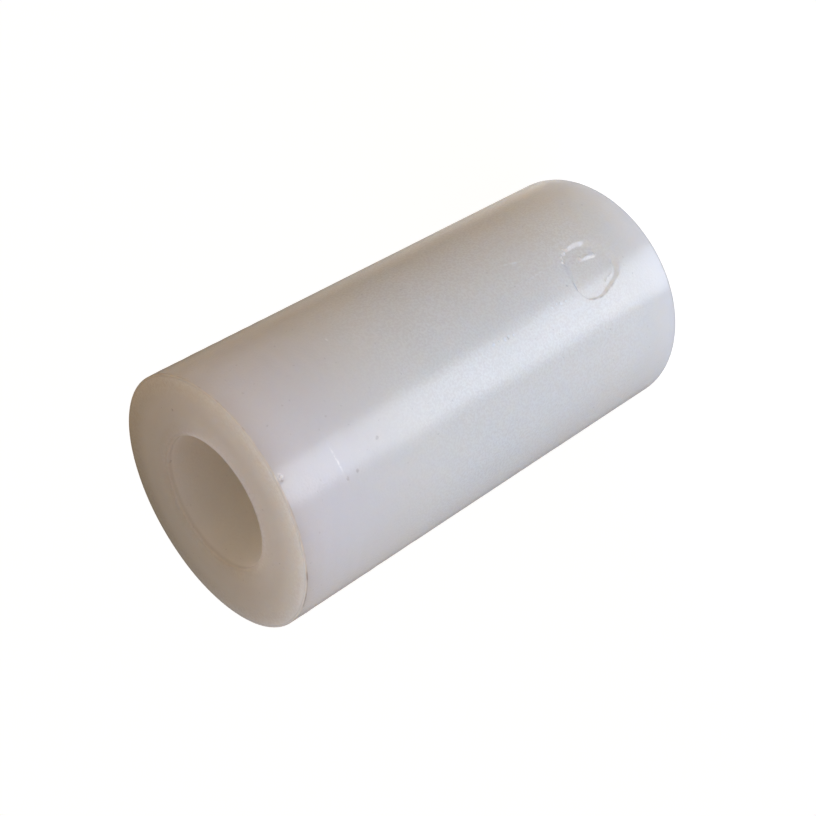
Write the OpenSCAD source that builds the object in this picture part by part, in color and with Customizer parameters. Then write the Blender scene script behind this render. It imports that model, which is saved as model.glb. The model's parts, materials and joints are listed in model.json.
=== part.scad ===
// Spacer tube, injection moulded in natural polyamide.
//
// A plain round sleeve with two flat end faces and a clearance bore for an M4
// screw. It goes over the screw and holds two parts a set distance apart.
//
// Moulding leaves two marks on it. It was fed through a gate in its side, near the
// foot. The gate stands in a shallow sunk pad, so the stub that is left where it
// was torn off stays below the outer surface. The mould parts at the top end, so
// the top edge is almost sharp and the foot edge is a little rounder.
//
// Millimetres, +Z up. The tube stands on its foot face. Its axis lies on Z, and
// the middle of the foot face is at the origin.

/* [Tube] */
// Outer diameter of the tube
outer_d = 8; // [6:0.5:12]
// Diameter of the bore that clears the screw
bore_d = 4.2; // [2.2:0.1:4.6]
// Length from the foot face to the top face
tube_length = 16; // [6:1:40]

/* [Edges] */
// Radius on the outer edge of the foot end
foot_edge_r = 0.2; // [0.05:0.05:0.3]
// Radius on the outer edge of the top end, where the mould parts
top_edge_r = 0.03; // [0.02:0.01:0.2]
// Radius on the two edges of the bore
bore_edge_r = 0.08; // [0.04:0.02:0.24]

/* [Gate mark] */
// Angle of the gate about the tube's axis, counted from +X towards +Y
gate_angle = -90; // [-180:5:180]
// Height of the middle of the sunk pad above the foot face
gate_height = 2.8; // [2:0.1:4]
// Diameter of the sunk pad at the outer surface
pad_d = 2.2; // [1.2:0.1:2.6]
// Depth of the pad's floor below the outer surface
pad_depth = 0.1; // [0.06:0.01:0.2]
// Slope of the pad's wall, counted from square to the surface
pad_wall_slope = 45; // [5:5:45]
// Diameter of the stub that is left where the gate was torn off
stub_d = 0.5; // [0.3:0.05:0.7]
// How far the top of the stub stays below the outer surface
stub_sunk = 0.03; // [0.01:0.01:0.05]
// How far the stub sits from the middle of the pad, going round the tube
stub_offset = 0.25; // [-0.3:0.05:0.3]

/* [Hidden] */

outer_r = outer_d / 2;
bore_r = bore_d / 2;
pad_r = pad_d / 2;
floor_r = outer_r - pad_depth;      // the pad's floor is round about the tube's axis
stub_top_r = outer_r - stub_sunk;   // and so is the top of the stub
// How far below the outer surface the floor lies at the two sides of the pad,
// where the tube curves away
pad_reach = outer_r - sqrt(floor_r * floor_r - pad_r * pad_r);
pad_flare = tan(pad_wall_slope);    // widening of the pad for each millimetre outwards
stub_root = 0.2;                    // how deep the stub is let into the wall
past = 1;                           // how far a cutter runs past what it cuts
natural = [0.87, 0.85, 0.81];       // undyed polyamide, a warm translucent white
$fn = 128;

// What rounding takes from a square corner. The corner's point is at the origin
// and its body lies towards +X and +Y.
module corner_waste(r) {
    difference() {
        translate([-past, -past])
            square(past + r);
        translate([r, r])
            circle(r);
    }
}

// Half of the tube's lengthwise section, from the bore to the outer surface.
module wall_section() {
    difference() {
        translate([bore_r, 0])
            square([outer_r - bore_r, tube_length]);
        translate([outer_r, 0])
            mirror([1, 0])
                corner_waste(foot_edge_r);
        translate([outer_r, tube_length])
            mirror([1, 0])
                mirror([0, 1])
                    corner_waste(top_edge_r);
        translate([bore_r, 0])
            corner_waste(bore_edge_r);
        translate([bore_r, tube_length])
            mirror([0, 1])
                corner_waste(bore_edge_r);
    }
}

// Lays a shape drawn along +Z on the line that runs from the tube's axis out
// through the middle of the gate pad. The shape's +Y then goes round the tube.
module along_gate() {
    translate([0, 0, gate_height])
        rotate([0, 0, gate_angle])
            rotate([0, 90, 0])
                children();
}

// A plug about the tube's axis, as tall as the pad and more.
module core(r) {
    translate([0, 0, gate_height - pad_d])
        cylinder(h = 2 * pad_d, r = r);
}

// What the sunk pad takes away: a tapered button pressed in from outside, as far
// as the floor.
module pad_waste() {
    difference() {
        along_gate()
            translate([0, 0, outer_r - pad_reach])
                cylinder(
                    h = pad_reach + past,
                    r1 = pad_r - pad_reach * pad_flare,
                    r2 = pad_r + past * pad_flare
                );
        core(floor_r);
    }
}

// The stub in the pad, with its top round about the tube's axis.
module gate_stub() {
    intersection() {
        along_gate()
            translate([0, stub_offset, floor_r - stub_root])
                cylinder(h = stub_root + pad_depth + past, d = stub_d);
        core(stub_top_r);
    }
}

module spacer_tube() {
    color(natural)
        union() {
            difference() {
                rotate_extrude()
                    wall_section();
                pad_waste();
            }
            gate_stub();
        }
}

spacer_tube();
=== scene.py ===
# %% [markdown]
# # A moulded spacer tube
# This lesson dresses one small part: a plain round spacer, 16 mm long, moulded in undyed
# nylon. A part this plain lives by its finish. The material lets light in and glows warm
# where it is thin, the surface mirrors a window as one soft stripe, and the mould leaves
# a sunk gate mark, a parting line and a few scuffs. Each of these gets a step.
#
# The exact solid comes first, as a frame that nothing here may move. It gives the sizes.

# %% Load the frame
import json
import math

import bpy
import numpy as np
from mathutils import Matrix, Vector


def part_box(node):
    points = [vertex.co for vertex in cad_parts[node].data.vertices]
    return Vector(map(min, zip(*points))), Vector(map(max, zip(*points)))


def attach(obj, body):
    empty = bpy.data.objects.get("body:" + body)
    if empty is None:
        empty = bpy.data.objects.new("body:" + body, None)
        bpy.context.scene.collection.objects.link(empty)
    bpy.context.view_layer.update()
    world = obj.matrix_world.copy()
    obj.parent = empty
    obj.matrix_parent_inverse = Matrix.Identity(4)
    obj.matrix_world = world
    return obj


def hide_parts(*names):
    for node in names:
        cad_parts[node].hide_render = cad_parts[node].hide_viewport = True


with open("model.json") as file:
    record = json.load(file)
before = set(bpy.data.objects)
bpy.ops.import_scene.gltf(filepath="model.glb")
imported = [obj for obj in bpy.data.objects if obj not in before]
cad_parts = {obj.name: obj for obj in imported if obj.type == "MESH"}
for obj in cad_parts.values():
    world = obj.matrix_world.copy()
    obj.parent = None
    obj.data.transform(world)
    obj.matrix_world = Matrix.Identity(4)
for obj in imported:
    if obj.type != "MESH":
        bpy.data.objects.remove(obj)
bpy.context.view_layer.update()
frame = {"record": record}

# %% [markdown]
# ## Sizes
# Everything below is worked out in millimetres, because that is how a moulder thinks of
# so small a part, and is turned into metres only when a mesh is made. The outer radius,
# the length and the bore come from the frame. The rest are the sizes of the moulding
# marks, and they match the ones that the solid has.

# %% Sizes of the tube, in millimetres
MM = 0.001
low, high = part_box("spacer_tube")
bore = next(m for m in frame["record"]["mounts"] if m["kind"] == "bore")

OUTER_R = round((high.x - low.x) / 2 / MM, 2)
LENGTH = round((high.z - low.z) / MM, 2)
BORE_R = bore["dims"]["r_mm"]
FOOT_EDGE_R = 0.2
TOP_EDGE_R = 0.03
BORE_EDGE_R = 0.08
FOOT_ROWS, TOP_ROWS, MOUTH_ROWS = 9, 4, 5    # steps that each rounded edge is turned in
print("outer radius", OUTER_R, "bore radius", BORE_R, "length", LENGTH)

# %% [markdown]
# ## The skin as one wrapped grid
# A tube is a closed strip: walk up the outside, across the top face, down the bore and
# back along the foot face, and you are where you began. Turning that walk about the axis
# gives the whole skin. Blender's Screw modifier could do it, but then every marking would
# have to be cut in afterwards with booleans, which leave long thin triangles that shade
# badly. Here the walk and the turn make a grid of points, and each marking is a small
# push along the surface normal. The grid is fine only where there is something to show.

# %% Columns round the tube
def stretches(*parts):
    """Even steps over each (start, stop, step), joined end to end, without the last stop."""
    rows = []
    for start, stop, step in parts:
        count = max(1, round(abs(stop - start) / step))
        rows.append(np.linspace(start, stop, count, endpoint=False))
    return np.concatenate(rows)


GATE_ANGLE = -90.0
GATE_HEIGHT = 2.8
MARKED_SIDE = (-122.0, -60.0)     # degrees about the axis that the fine marks lie between

columns = np.radians(stretches(
    (MARKED_SIDE[0], GATE_ANGLE - 15, 0.5),
    (GATE_ANGLE - 15, GATE_ANGLE + 17, 0.25),
    (GATE_ANGLE + 17, MARKED_SIDE[1], 0.5),
    (MARKED_SIDE[1], MARKED_SIDE[0] + 360, 2.5),
))
print(len(columns), "columns")

# %% [markdown]
# The walk is a list of points that each know which way the surface faces. A straight
# stretch shares one normal, and a rounded edge turns it point by point. The rows are
# close together at the gate, where the relief is steep, and far apart in the bore.

# %% Straight stretches and rounded edges
def quarter(radius, centre_r, centre_z, first_degrees, count):
    """Points of a rounded edge, turning 90 degrees, as (r, z, normal r, normal z)."""
    turn = np.radians(first_degrees + np.linspace(0, 90, count, endpoint=False))
    normal_r, normal_z = np.cos(turn), np.sin(turn)
    r, z = centre_r + radius * normal_r, centre_z + radius * normal_z
    return np.stack([r, z, normal_r, normal_z], 1)


def straight(r, z, normal_r, normal_z):
    """Points of a flat or cylindrical stretch, with one normal for them all."""
    r, z = np.broadcast_arrays(np.asarray(r, float), np.asarray(z, float))
    return np.stack([r, z, np.full(r.shape, normal_r), np.full(r.shape, normal_z)], 1)


foot_edge = quarter(FOOT_EDGE_R, OUTER_R - FOOT_EDGE_R, FOOT_EDGE_R, -90, FOOT_ROWS)
top_edge = quarter(TOP_EDGE_R, OUTER_R - TOP_EDGE_R, LENGTH - TOP_EDGE_R, 0, TOP_ROWS)
near_mouth = quarter(BORE_EDGE_R, BORE_R + BORE_EDGE_R, LENGTH - BORE_EDGE_R, 90, MOUTH_ROWS)
far_mouth = quarter(BORE_EDGE_R, BORE_R + BORE_EDGE_R, BORE_EDGE_R, 180, MOUTH_ROWS)
print("rounded edges of", len(foot_edge), len(top_edge), len(near_mouth), len(far_mouth), "rows")

# %% The whole walk
side_heights = stretches(
    (FOOT_EDGE_R, 1.5, 0.2),
    (1.5, 4.2, 0.022),
    (4.2, 5.6, 0.07),
    (5.6, 11.0, 0.3),
    (11.0, 13.9, 0.1),
    (13.9, 14.3, 0.025),
    (14.3, LENGTH - 0.3, 0.1),
    (LENGTH - 0.3, LENGTH - TOP_EDGE_R, 0.02),
)
face_radii = stretches(
    (OUTER_R - TOP_EDGE_R, OUTER_R - 0.2, 0.03),
    (OUTER_R - 0.2, BORE_R + 0.2, 0.15),
    (BORE_R + 0.2, BORE_R + BORE_EDGE_R, 0.04),
)
bore_heights = stretches((LENGTH - BORE_EDGE_R, BORE_EDGE_R, 0.6))
foot_radii = stretches((BORE_R + BORE_EDGE_R, OUTER_R - FOOT_EDGE_R, 0.17))

walk = np.concatenate([
    foot_edge,
    straight(OUTER_R, side_heights, 1, 0),
    top_edge,
    straight(face_radii, LENGTH, 0, 1),
    near_mouth,
    straight(BORE_R, bore_heights, -1, 0),
    far_mouth,
    straight(foot_radii, 0, 0, -1),
])
print(len(walk), "rows,", 2 * len(walk) * len(columns), "triangles")

# %% [markdown]
# ## Marks that moulding leaves
# The marks are relief: how far the surface stands out from or sinks below the true tube,
# in millimetres, at an angle about the axis and a height. Written as functions of place
# they can be added up, and each can be read by itself. Two helpers do the shaping: a
# smooth step, and gentle waves made of a few random cosines, which stay seamless round
# the tube because each fits a whole number of times.

# %% Helpers for relief
def smooth_step(edge_from, edge_to, value):
    """0 before edge_from, 1 after edge_to, and an S curve between."""
    share = np.clip((value - edge_from) / (edge_to - edge_from), 0, 1)
    return share * share * (3 - 2 * share)


def waves(angle, height, size, seed, count=24):
    """Gentle bumps about `size` mm across, between about -1 and 1."""
    dice = np.random.default_rng(seed)
    total = np.zeros(np.broadcast(angle, height).shape)
    for _ in range(count):
        heading = dice.uniform(0, 2 * np.pi)
        pitch = 2 * np.pi / (size * dice.uniform(0.8, 1.6))
        turns = round(OUTER_R * pitch * np.cos(heading))
        climb = pitch * np.sin(heading)
        total = total + np.cos(turns * angle + climb * height + dice.uniform(0, 2 * np.pi))
    return total / math.sqrt(count)


print("waves reach", round(float(np.abs(waves(columns, 0.0, 1.0, seed=1)).max()), 2))

# %% [markdown]
# ### The gate
# Molten nylon came in here. A gate is kept in a sunk pad so that the stub left when it is
# broken off can't stand proud and keep the spacer from turning or sliding. The pad is
# about 2 mm across and a tenth deep. Its rim was cut by hand in the mould, so it isn't a
# true circle: it is taller than wide and flattened on one side.

# %% The rim of the pad
RIM = (                           # (bearing in degrees, distance of the rim, width of its wall)
    (-22, 0.93, 0.19), (-3, 0.89, 0.2), (14, 0.89, 0.18), (34, 0.97, 0.1), (50, 1.09, 0.14),
    (66, 1.07, 0.42), (94, 1.05, 0.42), (108, 1.06, 0.1), (123, 1.18, 0.07), (139, 1.21, 0.07),
    (154, 1.14, 0.07), (176, 1.01, 0.08), (202, 0.93, 0.12), (228, 1.05, 0.13), (243, 1.16, 0.16),
    (275, 1.16, 0.4), (310, 1.02, 0.4),
)


def from_gate(angle, height):
    """Distances from the middle of the pad: round the tube, and up, in millimetres."""
    turn = (angle - math.radians(GATE_ANGLE) + np.pi) % (2 * np.pi) - np.pi
    return OUTER_R * turn, height - GATE_HEIGHT


def pad_rim(bearing, column):
    """The rim's distance, or its wall's width, in each direction, with corners eased."""
    bearings = [row[0] for row in RIM]
    values = [row[column] for row in RIM]
    total = 0
    for lean in (-14, -7, 0, 7, 14):
        total = total + np.interp(np.degrees(bearing) + lean, bearings, values, period=360)
    return total / 5


def rim_distance(bearing, angle, height):
    """The rim with the small unevenness that a hand tool leaves."""
    return pad_rim(bearing, 1) + 0.012 * waves(angle, height, 0.35, seed=13)


print("rim from", min(row[1] for row in RIM), "to", max(row[1] for row in RIM), "mm off the middle")

# %% [markdown]
# The floor of the pad is nearly flat. Where its wall is steep, the tool raised a fine lip
# outside the rim. On one side the gate tore the rim when it was broken off, and opposite
# there is a second, broken lip inside the first.

# %% The sunk pad
PAD_DEPTH = 0.085


def gate_relief(angle, height):
    """The pad's floor and wall, and the fine lips along its rim."""
    around, up = from_gate(angle, height)
    reach = np.hypot(around, up)
    bearing = np.arctan2(up, around)
    bearing_degrees = np.degrees(bearing) % 360
    torn = smooth_step(10, 30, bearing_degrees) * (1 - smooth_step(55, 75, bearing_degrees))
    rim = rim_distance(bearing, angle, height) + 0.03 * torn * waves(angle, height, 0.16, seed=15)
    wall = pad_rim(bearing, 2)
    sunk = 1 - smooth_step(rim - wall, rim, reach)
    floor = -PAD_DEPTH * sunk * (1 + 0.06 * waves(angle, height, 0.9, seed=11))
    steep = 1 - smooth_step(0.08, 0.16, wall)
    lip = 0.007 * steep * np.exp(-((reach - rim - 0.03) / 0.035) ** 2)
    double = smooth_step(192, 204, bearing_degrees) * (1 - smooth_step(232, 246, bearing_degrees))
    broken = smooth_step(-0.7, 0.5, waves(angle, height, 0.16, seed=16))
    second = 0.018 * double * broken * np.exp(-((reach - rim + 0.24) / 0.04) ** 2)
    return floor + lip + second


pad_floor = gate_relief(math.radians(GATE_ANGLE), GATE_HEIGHT)
print("pad floor at", round(float(pad_floor), 3), "mm")

# %% Painted shade in the corner of the pad
def rim_shade(angle, height):
    """Painted shade at the foot of the pad's steep wall, a dark line along its corner."""
    around, up = from_gate(angle, height)
    reach = np.hypot(around, up)
    bearing = np.arctan2(up, around)
    steep = 1 - smooth_step(0.08, 0.18, pad_rim(bearing, 2))
    rim = rim_distance(bearing, angle, height)
    broken = smooth_step(-0.9, 0.9, waves(angle, height, 0.3, seed=14))
    return steep * broken * np.exp(-((reach - rim + 0.01) / 0.025) ** 2)


round_pad = np.radians(np.linspace(GATE_ANGLE - 20, GATE_ANGLE + 20, 400))
print("darkest level with the pad", round(float(rim_shade(round_pad, GATE_HEIGHT).max()), 2))

# %% The torn stub
STUB_AT = (0.30, -0.15)           # from the pad's middle: round the tube, and up
STUB_REACH = 0.35


def stub_relief(angle, height):
    """A torn ridge with a ragged crest, and a small hole beside it."""
    around, up = from_gate(angle, height)
    around, up = around - STUB_AT[0], up - STUB_AT[1]
    crest = 1 + 0.3 * waves(angle, height, 0.22, seed=12)
    ridge = np.exp(-((around - 0.12 * up) / 0.075) ** 2)
    ends = 1 - smooth_step(STUB_REACH - 0.1, STUB_REACH + 0.03, np.abs(up))
    hole = np.exp(-(np.hypot(around + 0.02, up - 0.42) / 0.05) ** 2)
    return 0.05 * ridge * ends * crest - 0.02 * hole


stub_angle = math.radians(GATE_ANGLE) + STUB_AT[0] / OUTER_R
stub_top = stub_relief(stub_angle, GATE_HEIGHT + STUB_AT[1])
print("stub stands", round(float(stub_top), 3), "mm above the floor of the pad")

# %% [markdown]
# ### Flow ripples, scratches and pits
# Nylon freezes against the cold mould as it flows. Where the flow ends, near the top, the
# skin keeps faint ripples across the tube and one small step. They are only a few
# thousandths of a millimetre high, but a mirrored window shows them. Handling adds short
# scratches and a few pits.

# %% Angles on the marked side
VIEW_SIDE = math.radians(-98)     # the middle of the side that shows the marks


def side_angle(degrees):
    """An angle about the axis, counted from the side that shows the marks."""
    return VIEW_SIDE + math.radians(degrees)


def near_angle(angle, degrees, spread):
    """1 at an angle of the marked side, falling away over `spread` degrees."""
    turn = (angle - side_angle(degrees) + np.pi) % (2 * np.pi) - np.pi
    return np.exp(-(np.degrees(turn) / spread) ** 2)


print("the gate is", round(GATE_ANGLE - math.degrees(VIEW_SIDE)), "degrees round on the marked side")

# %% Ripples and the step
STEP_HEIGHT = 14.1


def flow_relief(angle, height):
    """Ripples where the flow ended, a slow wobble everywhere, and one small step."""
    zone = smooth_step(10.2, 11.5, height) * (1 - smooth_step(LENGTH - 0.6, LENGTH - 0.1, height))
    ripple = 0.0032 * waves(angle * 0.35, height, 0.6, seed=21)
    wobble = 0.0012 * waves(angle, height, 3.0, seed=22)
    across = near_angle(angle, -10, 16)
    step = 0.006 * smooth_step(STEP_HEIGHT - 0.05, STEP_HEIGHT + 0.05, height) * across
    settle = 1 - smooth_step(STEP_HEIGHT + 0.1, LENGTH - 0.3, height)
    return zone * ripple + wobble + step * settle


over_step = flow_relief(side_angle(-10), np.array([STEP_HEIGHT - 0.1, STEP_HEIGHT + 0.1]))
print("step of", round(float(over_step[1] - over_step[0]), 4), "mm, ripples and all")

# %% Scratches
SCRATCHES = (                     # (from angle, from height, to angle, to height, depth)
    (27.0, 5.4, 25.4, 4.85, 0.010),
    (16.6, 5.25, 15.6, 4.8, 0.008),
)
SCRATCH_WIDTH = 0.03


def scratch_distance(angle, height, scratch):
    """How far each point is from the middle line of a scratch, in millimetres."""
    start = np.array([OUTER_R * side_angle(scratch[0]), scratch[1]])
    end = np.array([OUTER_R * side_angle(scratch[2]), scratch[3]])
    along = end - start
    around = OUTER_R * angle - start[0]
    up = height - start[1]
    share = np.clip((around * along[0] + up * along[1]) / (along @ along), 0, 1)
    return np.hypot(around - share * along[0], up - share * along[1]), share


def scratch_relief(angle, height):
    """Grooves that run out to nothing at both ends."""
    total = 0
    for scratch in SCRATCHES:
        off, share = scratch_distance(angle, height, scratch)
        run_out = np.sin(np.pi * np.clip(share, 0.02, 0.98))
        total = total - scratch[4] * run_out * np.exp(-(off / SCRATCH_WIDTH) ** 2)
    return total


print(len(SCRATCHES), "scratches")

# %% Pits
PITS = (                          # (angle, height, radius, depth)
    (-9.8, 12.66, 0.04, 0.014),
    (-17.3, 13.65, 0.035, 0.012),
    (-17.9, 14.01, 0.045, 0.014),
    (-4.4, 15.9, 0.09, 0.03),
)


def pit_relief(angle, height):
    """Small round dents."""
    total = 0
    for degrees, up, radius, depth in PITS:
        off = np.hypot(OUTER_R * (angle - side_angle(degrees)), height - up)
        total = total - depth * np.exp(-(off / radius) ** 2)
    return total


print(len(PITS), "pits, the deepest", max(pit[3] for pit in PITS), "mm")

# %% [markdown]
# ### The eased top edge
# The top edge is almost sharp as moulded. On one side it was eased, as a quick pass with a
# deburring knife does. Seen there it is a soft turn, and not a crisp line. The same curve
# sinks the side near the top and the end face near its rim, so the two still meet.

# %% The eased top edge
EASED = 0.12                      # how far from the edge the easing begins


def soft_edge(angle, from_edge):
    """How far the surface sinks towards the edge, most in the middle of the eased side."""
    softness = 0.7 * near_angle(angle, 30, 32)
    into_edge = np.clip(EASED - from_edge, 0, EASED)
    return -softness * into_edge ** 2 / (2 * EASED)


print("edge eased by", round(float(-soft_edge(side_angle(30), 0.0)), 3), "mm at most")

# %% [markdown]
# ### Put together
# Each mark belongs to one stretch of the walk. The direction of the normal tells the side
# (outwards) from the end faces (along the axis), so no mark strays round an edge.

# %% Put the relief together
def relief(angle, r, z, normal_r, normal_z):
    """How far the skin stands out along its normal, in millimetres."""
    outward = smooth_step(0.5, 1.0, normal_r)
    side = gate_relief(angle, z) + stub_relief(angle, z) + flow_relief(angle, z)
    side = side + scratch_relief(angle, z) + pit_relief(angle, z) + soft_edge(angle, LENGTH - z)
    endward = smooth_step(0.5, 1.0, np.abs(normal_z))
    face = 0.002 * waves(angle, r * 2, 2.5, seed=31)
    face = face + (normal_z > 0) * soft_edge(angle, OUTER_R - r)
    return outward * side + endward * face


angle_grid, row_grid = np.meshgrid(columns, np.arange(len(walk)))
r, z, normal_r, normal_z = (walk[:, i][row_grid] for i in range(4))
push = relief(angle_grid, r, z, normal_r, normal_z)
# painted shade: a dark line at the foot of the pad's steep wall
rim_line = rim_shade(angle_grid, z) * (normal_r > 0.9)
r = r + push * normal_r
z = z + push * normal_z
points = np.stack([r * np.cos(angle_grid), r * np.sin(angle_grid), z], 2).reshape(-1, 3) * MM
print("relief from", round(push.min(), 4), "to", round(push.max(), 4), "mm")

# %% [markdown]
# ### From grid to mesh
# Every point joins the next column and the next row, and the last row and column join the
# first, so the mesh is closed and has no seam. It takes the place of the plain solid in
# the frame, and rides on the same body. The painted shade at the pad's rim goes along as
# an attribute, a number at each point that the material can read.

# %% Wrap the grid into a mesh
def wrapped_faces(rows, around):
    """Quads of a grid that closes on itself both ways, facing outwards."""
    row, column = np.meshgrid(np.arange(rows), np.arange(around), indexing="ij")
    next_row, next_column = (row + 1) % rows, (column + 1) % around
    corners = [
        row * around + column,
        row * around + next_column,
        next_row * around + next_column,
        next_row * around + column,
    ]
    return np.stack(corners, 2).reshape(-1, 4)


skin = bpy.data.meshes.new("tube_skin")
skin.from_pydata(points.tolist(), [], wrapped_faces(len(walk), len(columns)).tolist())
skin.validate()
skin.shade_smooth()
skin.attributes.new("rim_dirt", "FLOAT", "POINT").data.foreach_set("value", rim_line.ravel())
tube = bpy.data.objects.new("tube_skin", skin)
bpy.context.scene.collection.objects.link(tube)
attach(tube, "root")
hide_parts("spacer_tube")
print(len(skin.polygons), "quads, box", [round(v / MM, 3) for v in tube.dimensions], "mm")

# %% [markdown]
# ## Shader maths as Python
# A material is a graph, and long graphs are hard to read as calls. This class wraps one
# output socket, so that plain Python arithmetic on it adds the Math nodes. One method,
# node, makes every other kind of node: first its settings, then its inputs.

# %% A socket that does arithmetic
class Flow:
    """An output socket of a node tree. Arithmetic with values makes Math nodes."""

    def __init__(self, tree, socket=None):
        self.tree = tree
        self.socket = socket

    def node(self, kind, settings=None, inputs=None, output=0):
        """Adds a node of any kind and returns one of its outputs."""
        made = self.tree.nodes.new("ShaderNode" + kind)
        for name, value in (settings or {}).items():
            setattr(made, name, value)
        for key, value in (inputs or {}).items():
            if isinstance(value, Flow):
                self.tree.links.new(value.socket, made.inputs[key])
            else:
                made.inputs[key].default_value = value
        return Flow(self.tree, made.outputs[output] if len(made.outputs) else None)

    def others(self, *names):
        """Further outputs of the node that this socket belongs to."""
        return [Flow(self.tree, self.socket.node.outputs[name]) for name in names]

    def math(self, operation, *values):
        """A Math node with these values or sockets."""
        return self.node("Math", {"operation": operation}, dict(enumerate(values)))

    def __add__(self, other):
        return self.math("ADD", self, other)

    def __radd__(self, other):
        return self.math("ADD", other, self)

    def __sub__(self, other):
        return self.math("SUBTRACT", self, other)

    def __rsub__(self, other):
        return self.math("SUBTRACT", other, self)

    def __mul__(self, other):
        return self.math("MULTIPLY", self, other)

    def __rmul__(self, other):
        return self.math("MULTIPLY", other, self)

    def __truediv__(self, other):
        return self.math("DIVIDE", self, other)

    def __rtruediv__(self, other):
        return self.math("DIVIDE", other, self)

    def step(self, start, end):
        """0 before start, 1 after end, smooth between: as smooth_step, in nodes."""
        return self.node("MapRange", {"interpolation_type": "SMOOTHSTEP"},
                         {"Value": self, "From Min": start, "From Max": end})


flow_methods = [name for name in vars(Flow) if name.startswith("__r")]
print("reflected operators", flow_methods)

# %% [markdown]
# Masks are joined, measured and turned into colours with a few small functions. Colours
# are written as the 0 to 255 values that a screen shows, which are easy to judge.

# %% Functions on masks and colours
def hypotenuse(one, other):
    """The distance that two distances at a right angle make."""
    total = one * one + other * other
    return total.math("SQRT", total)


def size_of(value):
    """A value without its sign."""
    return value.math("ABSOLUTE", value)


def either(masks):
    """The highest of several masks."""
    total = masks[0]
    for mask in masks[1:]:
        total = total.math("MAXIMUM", total, mask)
    return total


def mixed(mask, colour_off, colour_on):
    """One colour where the mask is 0, the other where it is 1."""
    return mask.node("Mix", {"data_type": "RGBA"}, {0: mask, 6: colour_off, 7: colour_on}, output=2)


def colour(red, green, blue):
    """A colour written as screen values from 0 to 255, turned into scene values."""
    def linear(value):
        share = value / 255
        return share / 12.92 if share <= 0.04045 else ((share + 0.055) / 1.055) ** 2.4
    return (linear(red), linear(green), linear(blue), 1.0)


print("milky white is", [round(share, 3) for share in colour(243, 236, 226)])

# %% [markdown]
# ## Natural nylon
# Undyed nylon is milky: light goes millimetres into it, scatters, loses some blue and
# comes out warm. Subsurface scattering does just this, and because the glow depends on
# thickness it needs the tube at its real size. The material is built up from places on
# the tube, in millimetres: its height, its distance from the axis and its angle.

# %% Places on the tube
nylon = bpy.data.materials.new("natural_nylon")
nylon.use_nodes = True
nylon.node_tree.nodes.clear()
graph = Flow(nylon.node_tree)

metres = graph.node("TexCoord", output="Object")
point = graph.node("VectorMath", {"operation": "SCALE"}, {0: metres, "Scale": 1 / MM})
px, py, pz = graph.node("SeparateXYZ", inputs={"Vector": point}).others("X", "Y", "Z")
radius = hypotenuse(px, py)
turned = py.math("ARCTAN2", py, px)
print(len(graph.tree.nodes), "nodes find the place")

# %% [markdown]
# ### Spots, clouds and grain
# A spot is a distance from a point, cut off at a size. The point is first moved about by a
# fine noise, so that no spot is a true circle. Clouds and grain are noise of two sizes.

# %% Noise and spots
RAGGED = 0.11                     # millimetres that the noise moves a point by, in all

fine_noise = graph.node("TexNoise", inputs={"Vector": point, "Scale": 12.0, "Detail": 2.0}, output="Color")
ragged = graph.node("VectorMath", {"operation": "MULTIPLY_ADD"}, {
    0: fine_noise, 1: (RAGGED, RAGGED, RAGGED), 2: point,
})


def noise(size, detail=2.0, seed=0.0):
    """Noise with patches about `size` mm across, between 0 and 1, mostly near a half."""
    moved = graph.node("VectorMath", {"operation": "ADD"}, {0: point, 1: (seed, seed, seed)})
    return graph.node("TexNoise", inputs={"Vector": moved, "Scale": 1 / size, "Detail": detail})


def spot(where, size):
    """1 inside a small ragged patch about a point given in millimetres."""
    middle = tuple(value + RAGGED / 2 for value in where)
    away = graph.node("VectorMath", {"operation": "DISTANCE"}, {0: ragged, 1: middle}, output="Value")
    return 1 - away.step(size * 0.4, size)


cloud = noise(2.6, detail=3.0)
grain = noise(0.07, detail=2.0, seed=7.0)
print("clouds of 2.6 mm and grain of 0.07 mm")

# %% Points on the side and on the end face
def on_side(degrees, height):
    """A point of the side, by its angle on the marked side."""
    angle = side_angle(degrees)
    return (OUTER_R * math.cos(angle), OUTER_R * math.sin(angle), height)


def on_face(azimuth, distance, height=LENGTH):
    """A point of the end face or of the bore, by its azimuth and distance from the axis."""
    angle = math.radians(azimuth)
    return (distance * math.cos(angle), distance * math.sin(angle), height)


print("the nick in the top edge is at", [round(value, 2) for value in on_side(-4.4, 15.9)], "mm")

# %% [markdown]
# ### Dust
# Undyed plastic shows every speck. Black dust sits in the melt as pinpoints, thinly and at
# random: a Voronoi cell holds one, and the cell's own colour is its lottery ticket, which
# says how dark the speck is.

# %% Dust specks
cells = graph.node("TexVoronoi", inputs={"Vector": ragged, "Scale": 3.6, "Randomness": 1.0})
ticket = graph.node("SeparateColor", inputs={"Color": cells.others("Color")[0]})
specks = (1 - cells.step(0.03, 0.15)) * (0.75 - ticket)
print("dust in cells of", round(1 / 3.6, 2), "mm")

# %% [markdown]
# ### The parting line
# The halves of the mould meet at the top edge and leave a line there, no wider than a
# hair. It is faint where they closed well. Where plastic crept between them it left a fine
# lip, and the dark of the line is painted shade under that lip. A distance from the edge
# draws it, and a noise and a few stretches make it uneven.

# %% The line where the mould parts
SEAM_WIDTH = 0.035
SEAM_BREAKS = (                   # (angle, half width in degrees, how dark)
    (-47.5, 3.5, 0.5), (-62, 6.0, 0.6), (-17, 6.0, 0.2), (19, 1.2, 0.3),
    (35, 1.4, 0.3), (46, 1.5, 0.3), (58, 4.0, 0.2),
)
off_edge = hypotenuse(radius - OUTER_R, pz - (LENGTH - 0.03))
dark = 0.1 + 0.25 * noise(0.6, detail=3.0, seed=3.0).step(0.4, 0.65)
for degrees, reach, strength in SEAM_BREAKS:
    away = size_of(turned - side_angle(degrees))
    dark = dark + strength * (1 - away.step(math.radians(reach * 0.3), math.radians(reach)))
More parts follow.
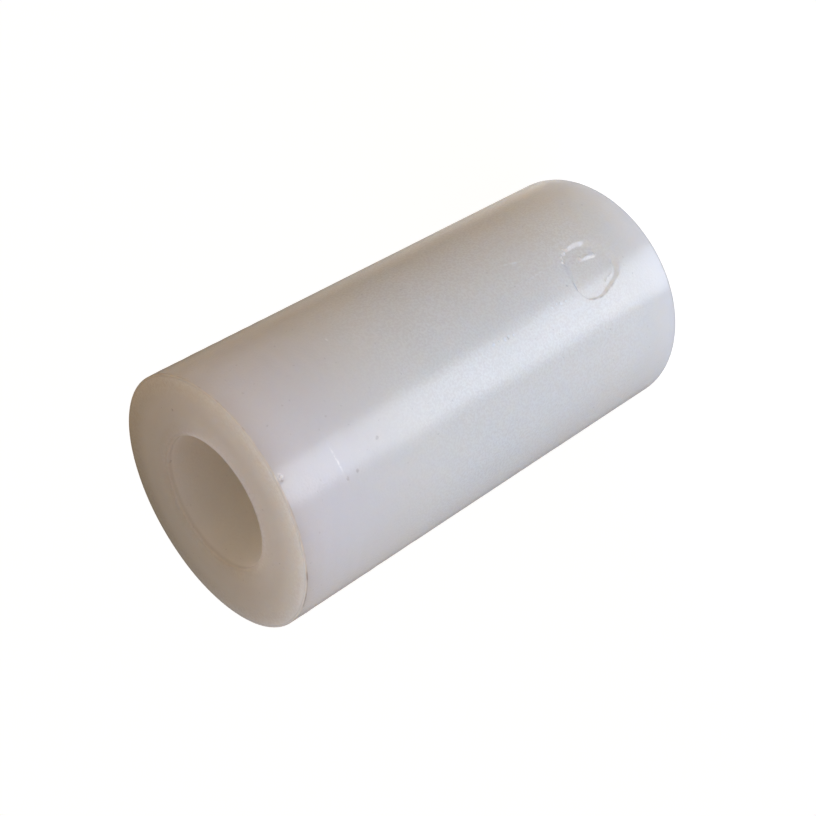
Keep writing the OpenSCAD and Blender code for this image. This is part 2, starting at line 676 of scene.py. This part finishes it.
# the dark of the parting line is painted shade
seam = (1 - off_edge.step(0.01, SEAM_WIDTH)) * dark
print("parting line with", len(SEAM_BREAKS), "dark stretches")

# %% [markdown]
# ### Dark marks
# A few marks that the eye finds at once have a place of their own, and so have the dark
# spots at the pits. These, the dust, the parting line and the shade at the foot of the
# pad's wall then become one mask, for the colour and for the gloss. The dust and the marks
# are dirt. The parting line and the pad's wall are painted shade.

# %% Dark marks
MARKS = (                         # (point, size)
    (on_side(-5.6, 15.86), 0.05), (on_face(-23, 2.91), 0.06),
    (on_face(29, BORE_R, LENGTH - 0.1), 0.06), (on_side(-2, 7.05), 0.05),
    (on_side(0, 4.65), 0.05), (on_side(11.9, 3.15), 0.06), (on_side(5.0, 4.07), 0.05),
)
dark_pit_spots = [spot(on_side(pit[0], pit[1]), 0.07) for pit in PITS[:3]]
marks = either(dark_pit_spots + [spot(where, size) for where, size in MARKS])
rim_dirt = graph.node("Attribute", {"attribute_name": "rim_dirt"}, output="Fac")
# dirt and painted shade in one mask: the parting line and the pad's rim are painted shade
dirt_and_shade = either([seam, 0.32 * marks, 0.3 * specks, 0.4 * rim_dirt])
print(len(dark_pit_spots) + len(MARKS), "dark marks")

# %% [markdown]
# ### Painted glints on pimples and streaks
# Beside the bright stripe there are rows of tiny pimples, and short streaks lie here and
# there, most of them on the scratches, the torn stub, the step and the nick in the top
# edge. Their pale colour is painted highlight, the glint that these small bumps and
# grooves catch from the window, broken up by a noise.

# %% Pimples
PIMPLES = (                       # (angle, height, size)
    (-0.4, 4.42, 0.05), (-0.5, 4.62, 0.08), (0.4, 4.8, 0.05), (-0.2, 5.03, 0.06),
    (-1.9, 6.83, 0.05), (-1.3, 7.0, 0.06), (-1.6, 7.18, 0.08), (-0.9, 7.4, 0.05),
    (-1.2, 7.65, 0.06), (11.9, 3.1, 0.06), (-4.2, 15.88, 0.06), (-3.9, 15.82, 0.06),
)
pimples = either([spot(on_side(degrees, height), size) for degrees, height, size in PIMPLES])
print(len(PIMPLES), "pimples")

# %% Painted glint streaks
def streak(degrees, height, lean, length, width):
    """1 along a short line on the side that leans so many degrees from upright."""
    around = OUTER_R * (turned - side_angle(degrees))
    up = pz - height
    c, s = math.cos(math.radians(lean)), math.sin(math.radians(lean))
    along = (up * c + around * s) / length
    across = (around * c - up * s) / width
    return 1 - hypotenuse(along, across).step(0.2, 1.0)


glint_streaks = noise(0.12, detail=2.0, seed=9.0).step(0.3, 0.6) * either([
    streak(11.9, 2.66, 0, 0.3, 0.06),
    0.8 * streak(26.2, 5.14, 14, 0.62, 0.05),
    streak(25.6, 5.06, 14, 0.3, 0.055),
    0.85 * streak(15.85, 4.8, -3, 0.45, 0.045),
    0.45 * streak(-9.5, STEP_HEIGHT, 86, 0.55, 0.045),
    0.5 * streak(36.2, 12.03, 86, 0.11, 0.05),
    0.35 * streak(-3.2, 15.82, 60, 0.12, 0.06),
])
print(len(graph.tree.nodes), "nodes so far")

# %% [markdown]
# ### Colour
# The nylon is a clouded cream with a fine grain. The rest of its colour is painted shade.
# Towards the top the body is painted warmer and darker, and the foot is painted greyer.
# Near the top, light from the lamp in the bore, which comes further down, shines through
# the wall. The colour there is painted darker and greyer to make up for it: most of all on
# the front, less towards the sides, and least in the bore, where the lamp's own light
# belongs. The rim of the mouth is painted darker as well, which dulls a bright line there.

# %% Where the colour changes
end_face = pz.step(LENGTH - 0.06, LENGTH - 0.02)
on_top = end_face * (1 - radius.step(OUTER_R - 0.15, OUTER_R - 0.03))
in_bore = 1 - radius.step(BORE_R + 0.1, BORE_R + 0.3)
mouth = pz.step(LENGTH - 0.2, LENGTH - 0.06) * (1 - radius.step(BORE_R + 0.03, BORE_R + 0.16))
foot = 1 - pz.step(0.3, 3.2)

from_front = size_of(turned - side_angle(0))
sideways = from_front.step(math.radians(30), math.radians(80))
# painted shade that makes up for the bore lamp's light through the wall
upper = 0.9 * pz.step(10.6, 15.0) * (1 - end_face)
upper = upper * (1 - 0.7 * in_bore) * (1 - 0.6 * sideways)
print("the foot is greyer up to 3.2 mm, and the top from 10.6 mm")

# %% Body colour
MILK = colour(243, 236, 226)
CREAM = colour(240, 232, 221)
GRAIN = colour(222, 209, 196)
SHADED_TOP = colour(226, 218, 207)
LAMP_SHADED_TOP = colour(199, 201, 205)
SHADED_MOUTH = colour(176, 166, 156)
SHADED_FOOT = colour(226, 224, 217)
DIRT_AND_SHADE = colour(122, 112, 106)
PAINTED_GLINT = colour(254, 250, 244)

body_colour = mixed(cloud.step(0.35, 0.65), CREAM, MILK)
body_colour = mixed(0.4 * grain.step(0.35, 0.65), body_colour, GRAIN)
# painted shade: the upper half warmer and darker
body_colour = mixed(0.8 * pz.step(8.5, 13.5) * (1 - on_top), body_colour, SHADED_TOP)
# painted shade: darker and greyer where the bore lamp shines through the wall
body_colour = mixed(upper, body_colour, LAMP_SHADED_TOP)
# painted shade: the rim of the mouth darker, to dull a bright line there
body_colour = mixed(0.4 * mouth, body_colour, SHADED_MOUTH)
# painted shade: greyer towards the foot
body_colour = mixed(foot, body_colour, SHADED_FOOT)
body_colour = mixed(dirt_and_shade, body_colour, DIRT_AND_SHADE)
# painted highlight: pale glints on the pimples and streaks
body_colour = mixed(either([pimples, glint_streaks]), body_colour, PAINTED_GLINT)
print("body from milk", [round(share, 2) for share in MILK], "to grey top", [round(v, 2) for v in LAMP_SHADED_TOP])

# %% [markdown]
# ### Gloss and grain
# The mould was polished, so the side is glossy. The end face and the bore are duller, and
# the window melts in them. Where the flow ended, the gloss changes in bands that run
# across the tube, so the noise is squeezed in height and stretched round the tube. A bump
# of a few thousandths of a millimetre gives the pearly grain in the bright stripe.

# %% Gloss
BAND_WIDTH, BAND_HEIGHT = 1.3, 0.28

off_band = size_of(turned - side_angle(-9))
in_flow = pz.step(11.4, 12.6) * (1 - pz.step(STEP_HEIGHT - 0.05, STEP_HEIGHT + 0.05))
in_flow = in_flow * (1 - off_band.step(0.08, 0.24))
across_flow = graph.node("CombineXYZ", inputs={"X": turned * (OUTER_R / BAND_WIDTH), "Z": pz / BAND_HEIGHT})
bands = graph.node("TexNoise", inputs={"Vector": across_flow, "Scale": 1.0, "Detail": 3.0})
rippled = in_flow * bands.step(0.25, 0.75)

unpolished = either([in_bore, on_top])
roughness = 0.13 + 0.12 * rippled + 0.06 * grain + 0.2 * dirt_and_shade + 0.3 * unpolished + 0.5 * mouth
print("roughness from 0.13 on the polished side")

# %% Grain
height_mm = 0.006 * grain + 0.009 * pimples
fine_bump = graph.node("Bump", inputs={"Strength": 1.0, "Distance": MM, "Height": height_mm})
print("grain 0.006 mm high, pimples 0.009 mm")

# %% [markdown]
# ### How far light goes
# Two nylons share one material. In the body light goes about 12 mm, so the tube glows
# through from side to side. With the same long path the end face would take too much from
# the dark bore beside it, so its ring gets a path half as long. A Mix Shader blends the
# two over six or seven tenths of a millimetre at the bore and at the rim. The radii are
# how far red, green and blue go, as shares of that path. They are the same everywhere, so
# they are set on the sockets directly.

# %% Two nylons in one material
def milky(surface_colour, radii, path_mm):
    """Nylon that light goes so far into."""
    return graph.node("BsdfPrincipled", {"subsurface_method": "RANDOM_WALK"}, {
        "Base Color": surface_colour,
        "Roughness": roughness,
        "IOR": 1.53,
        "Subsurface Weight": 1.0,
        "Subsurface Radius": radii,
        "Subsurface Scale": path_mm * MM,
        "Normal": fine_bump,
    })


body = milky(body_colour, (1.0, 0.75, 0.54), 12)
# the ring's colour is painted whiter than the body's, which brightens it beside the bore
face = milky(mixed(dirt_and_shade, colour(251, 248, 241), DIRT_AND_SHADE), (1.0, 0.82, 0.66), 6)
ring = on_top * radius.step(BORE_R, BORE_R + 0.6) * (1 - radius.step(OUTER_R - 0.9, OUTER_R - 0.2))
blend = graph.node("MixShader", inputs={0: ring, 1: body, 2: face})
graph.node("OutputMaterial", inputs={"Surface": blend})
skin.materials.append(nylon)
print(nylon.name, "has", len(graph.tree.nodes), "nodes")

# %% [markdown]
# ## Floor
# The spacer stands on a pale floor. Only the camera sees it: light for the tube comes
# from all round, as on a light table. It is part glow and part matt paint, so that it is
# white and still takes the tube's shadow.

# %% Floor
FLOOR_SIZE = 4.0                  # metres
FLOOR_GAP = 0.02 * MM             # so that the foot face and the floor don't share a plane
bpy.ops.mesh.primitive_plane_add(size=FLOOR_SIZE, location=(0, 0, low.z - FLOOR_GAP))
floor = bpy.context.object
floor.name = "floor"
floor.visible_diffuse = False
floor.visible_glossy = False
floor.visible_transmission = False
floor.visible_shadow = False
print("floor at", round(floor.location.z / MM, 3), "mm")

# %% White paper
PAPER_GREY = 0.3
PAPER_GLOW = 0.94

paper = bpy.data.materials.new("white_paper")
paper.use_nodes = True
paper.node_tree.nodes.clear()
sheet = Flow(paper.node_tree)
matt = sheet.node("BsdfDiffuse", inputs={"Color": (PAPER_GREY, PAPER_GREY, PAPER_GREY, 1)})
glow = sheet.node("Emission", inputs={"Color": (1, 1, 1, 1), "Strength": PAPER_GLOW})
both = sheet.node("AddShader", inputs={0: matt, 1: glow})
sheet.node("OutputMaterial", inputs={"Surface": both})
floor.data.materials.append(paper)
print("paper glows at", PAPER_GLOW)

# %% [markdown]
# ## Light
# The world gives nearly all the light. A direction's azimuth and elevation decide its
# colour: a cool bright side, a warm dim side, and a tall window that the tube mirrors as a
# stripe. Lamps could do it too, but soft light from all round is what makes nylon glow.

# %% Directions in the world
world = bpy.data.worlds.new("studio")
bpy.context.scene.world = world
world.use_nodes = True
world.node_tree.nodes.clear()
sky = Flow(world.node_tree)
direction = sky.node("TexCoord", output="Generated")
east, north, upward = sky.node("SeparateXYZ", inputs={"Vector": direction}).others("X", "Y", "Z")


def aimed(azimuth, elevation):
    """A direction as a vector of length 1."""
    a, e = math.radians(azimuth), math.radians(elevation)
    return (math.cos(e) * math.cos(a), math.cos(e) * math.sin(a), math.sin(e))


def scaled(rgb, amount):
    """A colour made stronger or weaker by a mask."""
    return amount.node("VectorMath", {"operation": "SCALE"}, {0: rgb, "Scale": amount})


def added(one, other):
    """Two lights together."""
    return one.node("VectorMath", {"operation": "ADD"}, {0: one, 1: other})


print("azimuth 0 points to", aimed(0, 0))

# %% [markdown]
# ### The window
# In the mirror of a round tube a window becomes one stripe. It is narrow high up and wide
# low down, its sides are a little soft, and it fades out above.

# %% The window
WINDOW_AZIMUTH = -116.0
WINDOW_LIGHT = (3.1, 3.35, 3.75)
WINDOW_HALF_WIDTH = 0.073         # radians, at the height of the tube and above
WINDOW_SPREAD = 0.407             # how much wider it gets towards the ground
WINDOW_SOFTNESS = 0.044

c, s = math.cos(math.radians(WINDOW_AZIMUTH)), math.sin(math.radians(WINDOW_AZIMUTH))
ahead = east * c + north * s
aside = north * c - east * s
off_window = size_of(aside.math("ARCTAN2", aside, ahead))
half_width = WINDOW_HALF_WIDTH - WINDOW_SPREAD * upward.math("MINIMUM", upward, 0.0)
window = 1 - (off_window - half_width).step(-WINDOW_SOFTNESS, WINDOW_SOFTNESS)
window = window * (1 - upward.step(0.1, 0.4))
print("window", round(2 * math.degrees(WINDOW_HALF_WIDTH), 1), "degrees wide")

# %% [markdown]
# ### The room
# Wide soft patches of light stand for the walls of the room. Straight below it is nearly
# dark, because the tube stands there and its own shadow falls there.

# %% The room
SOFT_LIGHTS = (                   # (azimuth, elevation, spread in degrees, colour)
    (0, -90, 75, (0.0, 0.05, 0.12)),
    (-120, -35, 75, (0.56, 0.60, 0.765)),
    (180, -35, 75, (0.37, 0.36, 0.38)),
    (0, -35, 75, (0.335, 0.25, 0.165)),
    (-150, 25, 75, (0.48, 0.42, 0.42)),
    (-50, 25, 75, (0.71, 0.50, 0.325)),
    (60, 25, 90, (0.09, 0.05, 0.0)),
    (150, 25, 75, (0.33, 0.27, 0.21)),
    (52, -44, 27, (0.66, 0.64, 0.62)),
    (112, -30, 40, (0.34, 0.31, 0.29)),
)


def soft_light(azimuth, elevation, spread):
    """1 towards a direction, fading to nothing over so many degrees."""
    towards = sky.node("VectorMath", {"operation": "DOT_PRODUCT"},
                       {0: direction, 1: aimed(azimuth, elevation)}, output="Value")
    return 1 - towards.math("ARCCOSINE", towards).step(0.0, math.radians(spread))


room = scaled(WINDOW_LIGHT, window)
for azimuth, elevation, spread, rgb in SOFT_LIGHTS:
    room = added(room, scaled(rgb, soft_light(azimuth, elevation, spread)))

FLOOR_SHADE = 0.15                # what is left of the light straight below
room = scaled(room, FLOOR_SHADE + (1 - FLOOR_SHADE) * upward.step(-0.98, -0.75))
print(len(SOFT_LIGHTS), "soft lights and a window")

# %% [markdown]
# ### The white background
# The camera sees plain white in place of the room, and so would anything clear. Mirror
# rays keep the room: the tube has no metal and no glass, and its one clear reflection is
# the window, which white all round would wash out.

# %% White behind the tube
in_view = sky.node("LightPath", output="Is Camera Ray")
through_glass = sky.node("LightPath", output="Is Transmission Ray")
seen = mixed(in_view.math("MAXIMUM", in_view, through_glass), room, (1, 1, 1, 1))
background = sky.node("Background", inputs={"Color": seen})
sky.node("OutputWorld", inputs={"Surface": background})
print("world has", len(sky.tree.nodes), "nodes")

# %% [markdown]
# ### A lamp in the bore
# Clear nylon mirrors light back into its own wall where it meets the air at a shallow
# angle, so the wall between the bore and the bright side glows right up to the bore. The
# random walk has no such mirror: what reaches the bore is gone, and the end face gets a
# dark ring. A small lamp in the bore, turned to the bright side, gives this light back.
# The camera and mirror rays don't see it, and it shines only on the wall of the bore.

# %% Lamp in the bore
LAMP_FACES = -112.0               # degrees about the axis
LAMP_OFF_AXIS = 0.6               # millimetres, away from the wall that it faces
LAMP_BELOW_TOP = 0.95
LAMP_WIDTH, LAMP_HEIGHT = 1.5, 1.3
LAMP_WATTS = 2.4e-5
LAMP_COLOUR = (0.92, 0.90, 1.0)

lamp_data = bpy.data.lights.new("bore_lamp", "AREA")
lamp_data.shape = "RECTANGLE"
lamp_data.size = LAMP_WIDTH * MM
lamp_data.size_y = LAMP_HEIGHT * MM
lamp_data.energy = LAMP_WATTS
lamp_data.color = LAMP_COLOUR
bore_lamp = bpy.data.objects.new("bore_lamp", lamp_data)
bpy.context.scene.collection.objects.link(bore_lamp)
heading = Vector(aimed(LAMP_FACES, 0))
lamp_place = (Vector((0, 0, LENGTH - LAMP_BELOW_TOP)) - heading * LAMP_OFF_AXIS) * MM
lamp_turn = heading.to_track_quat("-Z", "Y").to_matrix().to_4x4()
bore_lamp.matrix_world = Matrix.Translation(lamp_place) @ lamp_turn
bore_lamp.visible_camera = False
bore_lamp.visible_glossy = False
print("bore lamp at", [round(v / MM, 2) for v in lamp_place], "mm")

# %% [markdown]
# ## Camera
# The camera is close, less than three lengths of the tube away, which is why the near end
# looks so much larger than the far one. It looks down on the end face and is rolled, so
# that the tube lies across the picture.

# %% Camera
AIM = Vector((-0.455, 0.058, 8.683)) * MM
CAMERA_AZIMUTH = -7.30
CAMERA_ELEVATION = 33.55
CAMERA_ROLL = -120.42
CAMERA_DISTANCE = 45.18 * MM
LENS, SENSOR = 64.38, 36          # millimetres
a, e = math.radians(CAMERA_AZIMUTH), math.radians(CAMERA_ELEVATION)
back = Vector((math.sin(a) * math.cos(e), -math.cos(a) * math.cos(e), math.sin(e)))
level = (-back).to_track_quat("-Z", "Y").to_matrix()
camera_data = bpy.data.cameras.new("camera")
camera_data.lens = LENS
camera_data.sensor_width = SENSOR
camera_data.clip_start, camera_data.clip_end = 0.001, 100
camera = bpy.data.objects.new("camera", camera_data)
bpy.context.scene.collection.objects.link(camera)
roll = Matrix.Rotation(math.radians(CAMERA_ROLL), 3, "Z")
camera.matrix_world = Matrix.Translation(AIM + back * CAMERA_DISTANCE) @ (level @ roll).to_4x4()
bpy.context.scene.camera = camera
bpy.context.scene.view_settings.view_transform = "Standard"
print("camera", round(CAMERA_DISTANCE / MM, 1), "mm from the tube")

# %% [markdown]
# ## Finish
